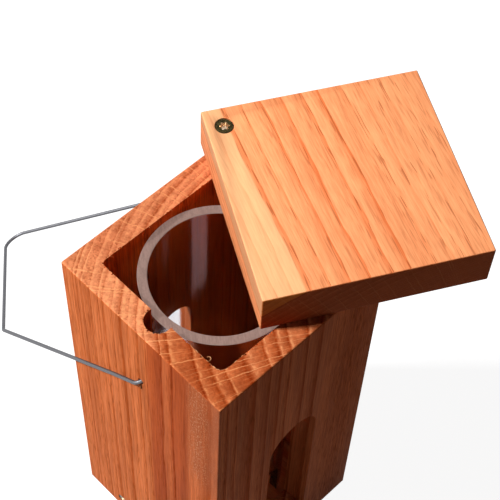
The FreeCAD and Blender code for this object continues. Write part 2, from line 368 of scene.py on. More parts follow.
def new_tree(name, kind, inputs, outputs):
    """A node group whose sockets are named with their kind, or with a default that tells the kind."""
    tree = bpy.data.node_groups.new(name, kind)
    for in_out, sockets in (("INPUT", inputs), ("OUTPUT", outputs)):
        for label, default in sockets.items():
            only_kind = isinstance(default, str)
            socket_type = "NodeSocket" + (default if only_kind else SOCKET_KINDS[type(default)])
            socket = tree.interface.new_socket(label, in_out=in_out, socket_type=socket_type)
            if not only_kind:
                socket.default_value = default
    graph = Graph(tree)
    given = {socket.name: Value(graph, socket) for socket in graph.add("NodeGroupInput").outputs}
    return graph, given, graph.add("NodeGroupOutput").inputs


def opaque(values):
    """A colour with its fourth number."""
    return (*values, 1.0)


# Shader groups

def oak_figure():
    """Oak as a solid: growth rings about a pith, rays, pores, fibres and sapwood.

    In mm, with the grain along Z and the piece on the +X side of the pith.
    """
    name = "Oak figure"
    if name in bpy.data.node_groups:
        return bpy.data.node_groups[name]
    graph, given, made = new_tree(name, "ShaderNodeTree", {
        "Vector": "Vector", "Ring Width": 4.0, "Core Radius": 0.0, "Core Ring Width": 8.0,
        "Core Contrast": 1.0, "Ring Uneven": 2.0, "Ring Wave": 1.5, "Pith Distance": 120.0,
        "Band Contrast": 0.8, "Band Edge": 0.05, "Ring Line": 0.3, "Pore Size": 0.4, "Pore Amount": 0.7,
        "Ray Amount": 0.5, "Ray Spacing": 6.5, "Fibre Width": 0.6, "Fibre Length": 30.0,
        "Fibre Amount": 0.3, "Streak Amount": 0.5, "Sapwood Radius": 9999.0, "Late": "Color",
        "Early": "Color", "Sapwood": "Color", "Ray": "Color", "Pore": "Color", "Core Tint": WHITE}, SURFACE)
    place = given["Vector"]
    # The rings wander slowly along the trunk and have fine scallops
    middle = (0.5, 0.5, 0.5)
    scallop = 1.1
    slow = graph.noise(place * (1 / 26, 1 / 26, 1 / 110), 2.0, output="Color")
    quick = graph.noise(place * (1 / 3.2, 1 / 3.2, 1 / 22), 1.0, output="Color")
    bent = place + graph.scaled(slow - middle, given["Ring Wave"]) + graph.scaled(quick - middle, scallop)
    x, y, z = graph.parts(bent)
    radius = graph.math("LENGTH", graph.joined(x, y, 0.0))
    # The core has its own ring width, and the rings are uneven from year to year
    inside = graph.math("MINIMUM", radius, given["Core Radius"])
    outside = radius - inside
    count = inside / given["Core Ring Width"] + outside / given["Ring Width"]
    pace = graph.made("ShaderNodeTexNoise", noise_dimensions="1D", W=count * 0.55, Scale=1.0, Detail=1.0)
    count = pace * given["Ring Uneven"] + count
    phase = graph.math("FRACT", count)
    year = graph.made("ShaderNodeTexWhiteNoise", "Value", noise_dimensions="1D", W=graph.math("FLOOR", count))
    in_core = 1.0 - graph.step(outside, 0.0, 5.0)
    # Each year starts with a dark open line that fades out over the year
    sudden = 1.0 - graph.step(phase, 0.03, 0.28)
    gentle = 1.0 - graph.step(phase, 0.1, 0.95)
    early = (sudden * 0.55 + gentle * 0.45) * graph.step(phase, 0.0, given["Band Edge"])
    # Pale, broken lines where a year ends
    broken = graph.noise(place * (1 / 2.5, 1 / 2.5, 1 / 30), 2.0)
    line_start = in_core * 0.12 + 0.66
    ring_line = graph.step(phase, line_start, line_start + 0.14) * graph.step(broken, 0.38, 0.62)
    ring_line = ring_line * given["Ring Line"]
    # Fibres, broad streaks and pores
    thin = 1.0 / given["Fibre Width"]
    fibre = graph.noise(place * graph.joined(thin, thin, 1.0 / given["Fibre Length"]), 3.0, 0.6)
    broad = graph.noise(place * (1 / 8, 1 / 8, 1 / 130), 2.0)
    fine = 1.0 / given["Pore Size"]
    pore = graph.noise(place * graph.joined(fine, fine, fine / 15.0), 0.0)
    pore = graph.math("MULTIPLY", graph.step(pore, 0.55, 0.68), early * 1.1 + 0.15, use_clamp=True)
    # Rays, long straight lines away from the pith
    round_about = graph.math("ARCTAN2", y, x) * given["Pith Distance"]
    rays = []
    for spacing, wide, reach, strength in ((1.0, 0.055, 24.0, 1.0), (0.3, 0.12, 8.0, 0.3)):
        across = round_about / (given["Ray Spacing"] * spacing)
        aside = graph.made("ShaderNodeTexVoronoi", "Distance", voronoi_dimensions="1D", feature="F1",
                           W=across, Scale=1.0)
        line = 1.0 - graph.step(aside, 0.3 * wide, wide)
        shown = graph.noise(graph.joined(across, radius / reach, z / 14.0), 2.0)
        rays.append(line * graph.step(shown, 0.36, 0.56) * strength)
    ray = graph.math("MAXIMUM", *rays) * given["Ray Amount"]
    # Colour
    uneven = (fibre - 0.5) * given["Fibre Amount"] + (broad - 0.5) * given["Streak Amount"]
    faint = in_core * (1.0 - given["Core Contrast"])
    band = early * (year * 0.7 + 0.5) * given["Band Contrast"] * (1.0 - faint) + 0.12
    shade = graph.mix(band - uneven, given["Late"], given["Early"])
    shade = shade * graph.mix(in_core * (early * 0.5 + 0.6), WHITE, given["Core Tint"])
    sap = graph.step(radius, given["Sapwood Radius"], given["Sapwood Radius"] + 0.6)
    shade = graph.mix(sap * (early * -0.3 + 1.0), shade, given["Sapwood"])
    shade = graph.scaled(shade, uneven * 0.6 + 1.0)
    shade = graph.mix(graph.math("MAXIMUM", ray, ring_line), shade, given["Ray"])
    pore = pore * (sap * -0.7 + 1.0)
    graph.put(made["Color"], graph.mix(pore * given["Pore Amount"], shade, given["Pore"]))
    # Relief: fibres stand up a little, pores and spring wood lie low
    graph.put(made["Height"], fibre * 0.5 + 0.5 - pore * 0.8 - early * 0.25)
    graph.put(made["Roughness"], pore * 0.2 + (early * 0.1 + 0.55))
    return graph.tree


def fine_scratches():
    """Fine lines along Z with scattered specks, for drawn wire, screws and acrylic. Coordinates in mm."""
    name = "Fine scratches"
    if name in bpy.data.node_groups:
        return bpy.data.node_groups[name]
    graph, given, made = new_tree(name, "ShaderNodeTree", {
        "Vector": "Vector", "Line Width": 0.2, "Line Length": 6.0, "Speck Size": 0.4, "Bright": "Color",
        "Dull": "Color", "Base Roughness": 0.3}, SURFACE)
    across = 1.0 / given["Line Width"]
    along = 1.0 / given["Line Length"]
    lines = graph.noise(given["Vector"] * graph.joined(across, across, along), 2.0)
    specks = graph.noise(graph.scaled(given["Vector"], 1.0 / given["Speck Size"]), 3.0, 0.65)
    dull = graph.step(lines * 0.6 + specks * 0.6, 0.42, 0.78)
    graph.put(made["Color"], graph.mix(dull, given["Bright"], given["Dull"]))
    graph.put(made["Height"], lines + specks * 0.5)
    graph.put(made["Roughness"], dull * 0.22 + given["Base Roughness"])
    return graph.tree


# Materials

def blank(owner):
    """The graph of a material's or a world's tree, with no nodes in it."""
    owner.use_nodes = True
    owner.node_tree.nodes.clear()
    return Graph(owner.node_tree)


def new_material(name):
    """A material, its graph and its shader, joined to the output."""
    material = bpy.data.materials.new(name)
    graph = blank(material)
    shader = graph.add("ShaderNodeBsdfPrincipled")
    graph.add("ShaderNodeOutputMaterial", Surface=shader.outputs[0])
    return material, graph, shader


def object_place(graph):
    return graph.made("ShaderNodeTexCoord", "Object")


def millimetres(graph, axes, origin):
    """Object coordinates in mm about an origin, with the third axis along the grain."""
    turn = Matrix([axis.normalized() for axis in axes])
    return graph.made("ShaderNodeMapping", vector_type="POINT", Vector=object_place(graph),
                      Location=-(turn @ Vector(origin)) / MM, Rotation=turn.to_euler(), Scale=(1 / MM,) * 3)


def left_face_grain(graph, shade, height, oak):
    """Streaks the post's left face, and dulls and flecks its upper part beside the front edge."""
    place = graph.scaled(object_place(graph), 1 / MM)
    x, y, z = graph.parts(place)
    half = post_half / MM
    forward = y * -1.0
    on_face = graph.step(x * -1.0, half - 1.5, half - 0.5)
    # Torn grain lies in a strip beside the front edge and fades out downwards
    strip_start, strip_full = half - 25, half - 16
    edge_start, edge_full = half - 11, half - 6
    fade_start, fade_end = 70.0, 125.0
    upper = 1.0 - graph.step(post_top / MM - z, fade_start, fade_end)
    patchy = graph.noise(place * (1 / 6, 1 / 6, 1 / 20), 2.0)
    torn = on_face * graph.step(forward, strip_start, strip_full) * upper
    torn = torn * (graph.step(patchy, 0.35, 0.6) * 0.4 + 0.6)
    fine = graph.noise(place * (1.2, 1.2, 0.7), 2.0, 0.6)
    near_edge = graph.step(forward, edge_start, edge_full)
    flecks = graph.step(fine, 0.52, 0.64) * (torn * (near_edge * -0.75 + 1.0))
    # Two broad dark streaks run down the face between its middle and the torn grain
    wander = graph.noise(place * (0.4, 0.4, 1 / 90), 2.0)
    across = (wander - 0.5) * 6.0 + forward
    dark = graph.step(across, 3.0, 7.0) - graph.step(across, 31.0, 37.0)
    between = graph.step(across, 14.0, 18.0) - graph.step(across, 19.0, 23.0)
    dark = dark * (between * -0.65 + 1.0) * on_face
    shade = shade * graph.mix(dark, WHITE, opaque(oak.heart_streak))
    shade = graph.mix(torn * (near_edge * 0.25 + 0.6), shade, opaque(oak.torn_dull))
    shade = graph.mix(flecks * 0.8, shade, opaque(oak.torn_fleck))
    return shade, height + flecks


def rim_tone(graph, shade, height, oak):
    """Darkens the end grain along the back of the rim and round its front left corner."""
    x, y = graph.parts(graph.scaled(object_place(graph), 1 / MM))[:2]
    half = post_half / MM
    along_back = graph.step(y, half - 17, half - 11)
    off_left = graph.step(x, 10 - half, 20 - half)
    in_front = graph.step(y * -1.0, half - 50, half - 35)
    off_corner = graph.step(x, -42.0, -26.0)
    tone = graph.mix(along_back * off_left, WHITE, opaque(oak.back_rim))
    tone = graph.mix(in_front - off_corner, tone, opaque(oak.front_rim))
    return shade * tone, height


def shaded_grooves(graph, shade, height, oak):
    """Darkens the grooves that were drilled into the side walls: painted shade for the shadow that falls in
    them.
    """
    x = graph.parts(graph.scaled(object_place(graph), 1 / MM))[0]
    tube_radius = (tube_high.x - tube_low.x) / MM / 2
    groove_start, groove_full = tube_radius + 1.8, tube_radius + 2.6
    strength = 0.9
    # Painted shade, strongest deep in the grooves
    deep = graph.step(graph.math("ABSOLUTE", x), groove_start, groove_full)
    return graph.mix(deep * strength, shade, opaque(oak.painted_groove_shade)), height


def oak_material(name, grain, middle, away, distance, shades, amounts, relief, oak=None, marked=None):
    """Oak whose pith lies at a distance in mm from a piece's middle, which it faces along away."""
    material, graph, shader = new_material(name)
    axes = (away, grain.cross(away), grain)
    pith = middle - away.normalized() * distance * MM
    late, early, sap, ray, pore = [opaque(shade) for shade in shades]
    figure = graph.add("ShaderNodeGroup", node_tree=oak_figure(), Vector=millimetres(graph, axes, pith),
                       Pith_Distance=distance, Late=late, Early=early, Sapwood=sap, Ray=ray, Pore=pore,
                       **amounts).outputs
    shade = Value(graph, figure["Color"])
    height = Value(graph, figure["Height"])
    if marked:
        shade, height = marked(graph, shade, height, oak)
    bump = graph.made("ShaderNodeBump", Strength=relief, Distance=0.2 * MM, Height=height)
    graph.fill(shader, Base_Color=shade, Roughness=figure["Roughness"], Specular_IOR_Level=0.02, Normal=bump)
    return material


def scratched_material(name, axes, bright, dull, **amounts):
    """A material with fine scratches, its graph, its shader and what the scratches give."""
    material, graph, shader = new_material(name)
    place = millimetres(graph, [Vector(axis) for axis in axes], (0, 0, 0))
    marks = graph.add("ShaderNodeGroup", node_tree=fine_scratches(), Vector=place, Bright=opaque(bright),
                      Dull=opaque(dull), **amounts).outputs
    graph.fill(shader, Base_Color=marks["Color"], Roughness=marks["Roughness"])
    return material, graph, shader, marks


def metal_material(name, bright, dull, roughness, line_width, line_length):
    """Metal with fine lines and a duller film."""
    material, graph, shader, marks = scratched_material(
        name, ((1, 0, 0), (0, 0, 1), (0, -1, 0)), bright, dull, Base_Roughness=roughness,
        Line_Width=line_width, Line_Length=line_length)
    bump = graph.made("ShaderNodeBump", Strength=0.15, Distance=0.05 * MM, Height=marks["Height"])
    graph.fill(shader, Metallic=1.0, Normal=bump)
    return material


def clear_material(tint, glint):
    """Clear acrylic with faint haze and handling marks."""
    haze = tuple(0.97 * value for value in tint)
    material, graph, shader, marks = scratched_material(
        "clear_acrylic", ((1, 0, 0), (0, 1, 0), (0, 0, 1)), tint, haze, Base_Roughness=0.2,
        Line_Width=1.5, Line_Length=60.0, Speck_Size=3.0)
    polish = 0.27
    graph.fill(shader, Roughness=Value(graph, marks["Roughness"]) * polish, IOR=1.49, Transmission_Weight=1.0,
               Specular_Tint=opaque(glint))
    return material


def glowing_rim_material(tint):
    """The sawn end of the tube, matt and speckled, with a painted glow by emission that stands in for the
    light that runs along the tube's wall and hides the shadows on the rim.
    """
    dull = tuple(0.74 * value for value in tint)
    material, graph, shader, marks = scratched_material(
        "sawn_acrylic", ((0, 0, 1), (0.8, -0.6, 0), (0.6, 0.8, 0)), tint, dull, Base_Roughness=0.5,
        Line_Width=0.8, Line_Length=5.0, Speck_Size=0.9)
    # A dim base under a strong emission: the rim glows evenly, a painted glow in place of its light and shade
    matt = 0.25
    bump = graph.made("ShaderNodeBump", Strength=0.4, Distance=0.1 * MM, Height=marks["Height"])
    graph.fill(shader, Base_Color=graph.scaled(marks["Color"], matt), IOR=1.49, Specular_IOR_Level=0.1,
               Emission_Color=marks["Color"], Emission_Strength=0.8, Normal=bump)
    return material


# Meshes

def from_skin(skin, name):
    """Turns a skin that is being built into a mesh."""
    mesh = bpy.data.meshes.new(name)
    skin.to_mesh(mesh)
    skin.free()
    return mesh


def closed_skin(skin, name):
    """Turns a closed skin into a mesh whose faces all look outwards."""
    bmesh.ops.recalc_face_normals(skin, faces=skin.faces)
    return from_skin(skin, name)


def merged_copy(node, name):
    """A packed node's mesh as one closed skin."""
    skin = bmesh.new()
    skin.from_mesh(frame["nodes"][node].data)
    bmesh.ops.remove_doubles(skin, verts=skin.verts, dist=1e-6)
    mesh = from_skin(skin, name)
    if "custom_normal" in mesh.attributes:
        mesh.attributes.remove(mesh.attributes["custom_normal"])
    mesh.materials.clear()
    return mesh


def polyline(name, points, **attributes):
    """A mesh of points joined in order by edges, with one number for each point under each name."""
    mesh = bpy.data.meshes.new(name)
    edges = [(index, index + 1) for index in range(len(points) - 1)]
    mesh.from_pydata(points, edges, [])
    for label, values in attributes.items():
        mesh.attributes.new(label, "FLOAT", "POINT").data.foreach_set("value", values)
    return mesh


def placed(name, mesh):
    """A new object at the origin that holds the mesh."""
    piece = bpy.data.objects.new(name, mesh)
    bpy.context.scene.collection.objects.link(piece)
    return piece


def kept(piece):
    """Turns a piece with modifiers into a plain mesh."""
    graph = bpy.context.evaluated_depsgraph_get()
    mesh = bpy.data.meshes.new_from_object(piece.evaluated_get(graph))
    mesh.name = piece.name
    piece.modifiers.clear()
    piece.data = mesh
    return piece


def grown(piece, tree, **values):
    """Runs a node tree on a piece, with its inputs by name, and keeps the mesh that it gives."""
    modifier = piece.modifiers.new("Shape", "NODES")
    modifier.node_group = tree
    named = {label.replace("_", " "): value for label, value in values.items()}
    for socket in tree.interface.items_tree:
        if socket.in_out == "INPUT" and socket.name in named:
            modifier[socket.identifier] = named.pop(socket.name)
    if named:
        raise ValueError("no inputs named " + ", ".join(named))
    return kept(piece)


def cut(piece, tool):
    """Takes a tool away from a piece and deletes it."""
    modifier = piece.modifiers.new("Cut", "BOOLEAN")
    modifier.operation = "DIFFERENCE"
    modifier.solver = "EXACT"
    modifier.object = tool
    kept(piece)
    bpy.data.objects.remove(tool)
    return piece


def smooth(piece, sharpest=35.0):
    """Shades round faces smooth and keeps edges sharp that bend by more than an angle."""
    piece.data.shade_smooth()
    piece.data.set_sharp_from_angle(angle=math.radians(sharpest))
    return piece


def arc(middle, radius, first, last, steps):
    """Points on a circle, from one angle to another."""
    points = []
    for step in range(steps + 1):
        bearing = first + (last - first) * step / steps
        points.append(Vector(middle) + radius * Vector((math.cos(bearing), math.sin(bearing))))
    return points


def walled(skin, rings):
    """Joins rings of (radius, height) points about Z by faces. Gives the first and the last ring."""
    rows = []
    for ring in rings:
        row = []
        for step, (radius, height) in enumerate(ring):
            bearing = math.tau * step / len(ring)
            row.append(skin.verts.new((radius * math.cos(bearing), radius * math.sin(bearing), height)))
        rows.append(row)
    for upper, lower in zip(rows, rows[1:]):
        for step in range(len(upper)):
            ahead = (step + 1) % len(upper)
            skin.faces.new((upper[step], lower[step], lower[ahead], upper[ahead]))
    return rows[0], rows[-1]


def spun(name, profile, steps):
    """A closed skin from a profile of (radius, height) points turned about Z."""
    skin = bmesh.new()
    points = [skin.verts.new((radius, 0, height)) for radius, height in profile]
    edges = [skin.edges.new(pair) for pair in zip(points, points[1:])]
    bmesh.ops.spin(skin, geom=points + edges, axis=(0, 0, 1), cent=(0, 0, 0), dvec=(0, 0, 0),
                   angle=math.tau, steps=steps, use_merge=False, use_duplicate=False)
    bmesh.ops.remove_doubles(skin, verts=skin.verts, dist=1e-7)
    return closed_skin(skin, name)


def star_prism(name, wide, narrow, depth):
    """A six-lobed prism that narrows downwards, from a little above the origin to a depth."""
    lobes = 6
    steps = 8 * lobes
    middle = (wide + narrow) / 2
    swing = (wide - narrow) / 2
    above = 0.2 * depth
    top_size, foot_size = 1.08, 0.6
    rings = []
    for height, size in ((above, top_size), (-depth, foot_size)):
        ring = []
        for step in range(steps):
            ring.append((size * (middle + swing * math.cos(lobes * math.tau * step / steps)), height))
        rings.append(ring)
    skin = bmesh.new()
    upper, lower = walled(skin, rings)
    skin.faces.new(upper)
    skin.faces.new(lower[::-1])
    return closed_skin(skin, name)


def wood_screw(name, head, shank, reach):
    """A countersunk screw pointing down from the origin, with its thread and its six-lobed recess."""
    rim = 0.4 * MM
    ease = 0.15 * MM
    neck = rim + (head - shank) / 2
    plain = neck + 0.35 * reach
    tip = reach - 6 * MM
    pitch = 0.45 * shank
    around = 28
    rows_per_turn = 6
    root = 0.68
    crest_width = 0.3
    thinnest = 0.06
    recess_depth = 1.8 * MM
    rings = []
    for radius, depth in ((head / 2 - ease, 0.0), (head / 2, ease), (head / 2, rim), (shank / 2, neck),
                          (shank / 2, plain)):
        rings.append([(radius, -depth)] * around)
    depth = plain + 0.2 * MM
    while depth < reach - 0.1 * MM:
        ring = []
        taper = 1.0 if depth < tip else max(thinnest, (reach - depth) / (reach - tip))
        for step in range(around):
            turn = (depth / pitch + step / around) % 1.0
            crest = max(0.0, 1.0 - abs(turn - 0.5) / crest_width)
            ring.append((shank / 2 * taper * (root + (1 - root) * crest), -depth))
        rings.append(ring)
        depth += pitch / rows_per_turn
    skin = bmesh.new()
    top, last = walled(skin, rings)
    skin.faces.new(top)
    point = skin.verts.new((0, 0, -reach))
    for step in range(around):
        skin.faces.new((last[step], point, last[(step + 1) % around]))
    recess = star_prism("recess", 0.285 * head, 0.2 * head, recess_depth)
    screw = cut(placed(name, closed_skin(skin, name)), placed("recess", recess))
    marks = []
    for face in screw.data.polygons:
        inside = -recess_depth - 0.1 * MM < face.center.z < -0.02 * MM
        marks.append(float(face.center.xy.length < 0.3 * head and inside))
    screw.data.attributes.new("recess", "FLOAT", "FACE").data.foreach_set("value", marks)
    return screw


# Geometry trees

def torn_edge_tree():
    """Tears small chips from a mesh along a path and gives its faces their grain by direction and place."""
    graph, given, made = new_tree("Torn edge", "GeometryNodeTree", {
        "Geometry": "Geometry", "Path": "Object", "Chip Size": 0.5 * MM, "Chip Spacing": 2 * MM, "Seed": 1,
        "Grain Axis": "Vector", "Inner Half Width": 0.04, "Inner Half Depth": 0.04, "Long Grain": "Material",
        "Inner Grain": "Material", "End Grain": "Material"}, GEOMETRY)
    seed = given["Seed"]
    path = graph.made("GeometryNodeObjectInfo", "Geometry", transform_space="ORIGINAL", Object=given["Path"])
    shift = graph.random((-1, -1, -0.2), (1, 1, 0.4), seed)
    spots = graph.spots(path, given["Chip Spacing"])
    spots = graph.moved(spots, graph.scaled(shift, given["Chip Size"] * 0.7))
    size = graph.math("POWER", graph.random(0.35, 1.0, seed + 11.0), 2.2) * given["Chip Size"]
    turn = graph.random((-0.5, -0.5, -3.1), (0.5, 0.5, 3.1), seed + 23.0)
    ball = graph.made("GeometryNodeMeshIcoSphere", "Mesh", Radius=1.0, Subdivisions=1)
    chips = graph.made("GeometryNodeInstanceOnPoints", Points=spots, Instance=ball, Rotation=turn,
                       Scale=graph.scaled(graph.joined(1.1, 0.8, 1.9), size))
    chips = graph.made("GeometryNodeRealizeInstances", Geometry=chips)
    torn = graph.made("GeometryNodeMeshBoolean", operation="DIFFERENCE", solver="EXACT",
                      Mesh_1=given["Geometry"], Mesh_2=chips, Self_Intersection=True)
    along = graph.math("DOT_PRODUCT", graph.made("GeometryNodeInputNormal"), given["Grain Axis"])
    is_end = graph.math("GREATER_THAN", graph.math("ABSOLUTE", along), FACING)
    x, y = graph.parts(graph.math("ABSOLUTE", graph.made("GeometryNodeInputPosition")))[:2]
    is_inner = graph.math("LESS_THAN", x, given["Inner Half Width"])
    is_inner = is_inner * graph.math("LESS_THAN", y, given["Inner Half Depth"])
    wood = graph.dressed(torn, given["Long Grain"])
    for grain, chosen in (("Inner Grain", is_inner), ("End Grain", is_end)):
        wood = graph.made("GeometryNodeSetMaterial", Geometry=wood, Material=given[grain], Selection=chosen)
    graph.put(made["Geometry"], wood)
    return graph.tree


def splinter_tree():
    """Sets fine bent fibres along a path, pointing towards the post's axis."""
    graph, given, made = new_tree("Splinters", "GeometryNodeTree", {
        "Geometry": "Geometry", "Fibre Length": 1.5 * MM, "Spacing": 1.3 * MM, "Drop": 1.4 * MM, "Seed": 1,
        "Material": "Material"}, GEOMETRY)
    seed = given["Seed"]
    drop = graph.random((-0.3, -0.3, -1.0), (0.3, 0.3, -0.15), seed)
    spots = graph.moved(graph.spots(given["Geometry"], given["Spacing"]), graph.scaled(drop, given["Drop"]))
    # One fibre, thick at its root and thin at its tip
    bow = graph.made("GeometryNodeCurveQuadraticBezier", Resolution=5, Start=(-0.15, 0, 0),
                     Middle=(0.5, 0.12, -0.05), End=(1, -0.1, -0.35))
    taper = graph.made("GeometryNodeSplineParameter", "Factor") * -0.85 + 1.0
    fibre = graph.swept(bow, sides=4, radius=0.075, Scale=taper)
    inward = graph.made("GeometryNodeInputPosition") * (-1, -1, 0)
    aim = graph.made("FunctionNodeAlignRotationToVector", axis="X", Vector=inward)
    sway = graph.random((-3, -0.15, -0.9), (3, 0.6, 0.9), seed + 5.0)
    size = graph.math("POWER", graph.random(0.2, 1.0, seed + 9.0), 2.5) * given["Fibre Length"]
    fibres = graph.made("GeometryNodeInstanceOnPoints", Points=spots, Instance=fibre,
                        Rotation=graph.turned(aim, sway), Scale=size)
    graph.put(made["Geometry"], graph.dressed(fibres, given["Material"]))
    return graph.tree


def torn_lip_tree():
    """Sweeps a thin uneven lip of torn wood along a path."""
    graph, given, made = new_tree("Torn lip", "GeometryNodeTree", {
        "Geometry": "Geometry", "Thickness": 0.5 * MM, "Spacing": 0.8 * MM, "Sway": 0.28 * MM, "Seed": 1,
        "Material": "Material"}, GEOMETRY)
    line = graph.made("GeometryNodeMeshToCurve", Mesh=given["Geometry"])
    line = graph.made("GeometryNodeResampleCurve", mode="LENGTH", Curve=line, Length=given["Spacing"])
    push = graph.random((-1, -1, -1.2), (1, 1, 0), given["Seed"])
    line = graph.moved(line, graph.scaled(push, given["Sway"]))
    size = graph.random(0.1, 1.0, given["Seed"] + 7.0)
    lip = graph.swept(line, sides=6, radius=given["Thickness"] * 0.5, Scale=size)
    graph.put(made["Geometry"], graph.dressed(lip, given["Material"]))
    return graph.tree


def screw_row_tree():
    """Puts a screw on each point, turned by the point's own angles, with a brighter copy of its metal in the
    recess for painted glints.
    """
    graph, given, made = new_tree("Screw row", "GeometryNodeTree", {
        "Geometry": "Geometry", "Screw": "Object", "Material": "Material", "Recess Material": "Material"},
        GEOMETRY)
    screw = graph.made("GeometryNodeObjectInfo", "Geometry", transform_space="ORIGINAL",
                       Object=given["Screw"])
    tilt, roll, recess = [graph.attribute(label) for label in ("tilt", "roll", "recess")]
    aim = graph.made("FunctionNodeEulerToRotation", Euler=graph.joined(0.0, tilt, 0.0))
    screws = graph.made("GeometryNodeInstanceOnPoints", Points=given["Geometry"], Instance=screw,
                        Rotation=graph.turned(aim, graph.joined(0.0, 0.0, roll)))
    bare = graph.made("GeometryNodeSetMaterial", Geometry=graph.dressed(screws, given["Material"]),
                      Material=given["Recess Material"], Selection=graph.math("GREATER_THAN", recess, 0.5))
    graph.put(made["Geometry"], bare)
    return graph.tree


def bent_wire_tree():
    """Rounds a line's corners by each point's own bend radius and sweeps a round wire along it."""
    graph, given, made = new_tree("Bent wire", "GeometryNodeTree", {
        "Geometry": "Geometry", "Wire Diameter": 2 * MM, "Bend Steps": 14, "Sides": 20,
        "Material": "Material"}, GEOMETRY)
    line = graph.made("GeometryNodeMeshToCurve", Mesh=given["Geometry"])
    rounded = graph.made("GeometryNodeFilletCurve", mode="POLY", Curve=line, Count=given["Bend Steps"],
                         Radius=graph.attribute("bend"))
    wire = graph.swept(rounded, given["Sides"], given["Wire Diameter"] * 0.5)
    graph.put(made["Geometry"], graph.dressed(wire, given["Material"]))
    return graph.tree


# Pieces

def oak_shades(oak, kind):
    """The five colours of one kind of cut."""
    late = getattr(oak, kind + "_late")
    early = getattr(oak, kind + "_early")
    sap = getattr(oak, kind + "_sap", late)
    return late, early, sap, oak.ray, oak.pore


def post_oak(oak):
    """The oak of the timber that both halves were sawn from: long, inner and end grain and fibres."""
    pith = Vector((0.0382, -0.0779, 0))
    rings = {"Ring_Width": 4.0, "Core_Radius": 112.0, "Core_Ring_Width": 8.2, "Ray_Spacing": 5.2}
    long_amounts = {"Ray_Amount": 0.1, "Pore_Amount": 0.65, "Pore_Size": 0.6, "Fibre_Width": 0.8,
                    "Fibre_Amount": 1.3, "Streak_Amount": 0.9, "Band_Contrast": 1.0, "Ring_Line": 0.0,
                    **rings}
    end_amounts = {"Ray_Amount": 0.65, "Pore_Amount": 0.65, "Pore_Size": 1.1, "Fibre_Width": 1.9,
                   "Fibre_Amount": 1.0, "Streak_Amount": 0.8, "Band_Contrast": 1.3, "Band_Edge": 0.2,
                   "Ring_Line": 0.5, **rings}
    woods = []
    for name, kind, amounts, tint, relief, marked in (
            ("oak_post_long", "post", long_amounts, oak.core_long, 0.4, left_face_grain),
            ("oak_post_inner", "inner", long_amounts, oak.core_long, 0.4, shaded_grooves),
            ("oak_post_end", "end", end_amounts, oak.core_end, 0.5, rim_tone),
            ("oak_fibre", "fibre", long_amounts, (1, 1, 1), 0.2, None)):
        woods.append(oak_material(name, UP, Vector(), -pith, pith.length / MM, oak_shades(oak, kind),
                                  {"Core_Tint": opaque(tint), **amounts}, relief, oak, marked))
    return woods


def inner_edge(sizes, side):
    """The cavity's upper edge in one half of the post, from the seam and round both grooves."""
    reach = post_half - sizes.wall
    bend = sizes.front_corner if side < 0 else sizes.back_corner
    middle = Vector((reach + sizes.groove_set, -side * sizes.groove_forward))
    first = math.asin(middle.y / sizes.groove)
    last = math.pi - math.acos(sizes.groove_set / sizes.groove)
    run = arc(middle, sizes.groove, -first, last, EDGE_STEPS)
    run += arc((reach - bend, reach - bend), bend, 0, math.pi / 2, EDGE_STEPS)
    left = [(-place.x, side * place.y, post_top) for place in run]
    right = [(place.x, side * place.y, post_top) for place in run]
    return left + right[::-1]


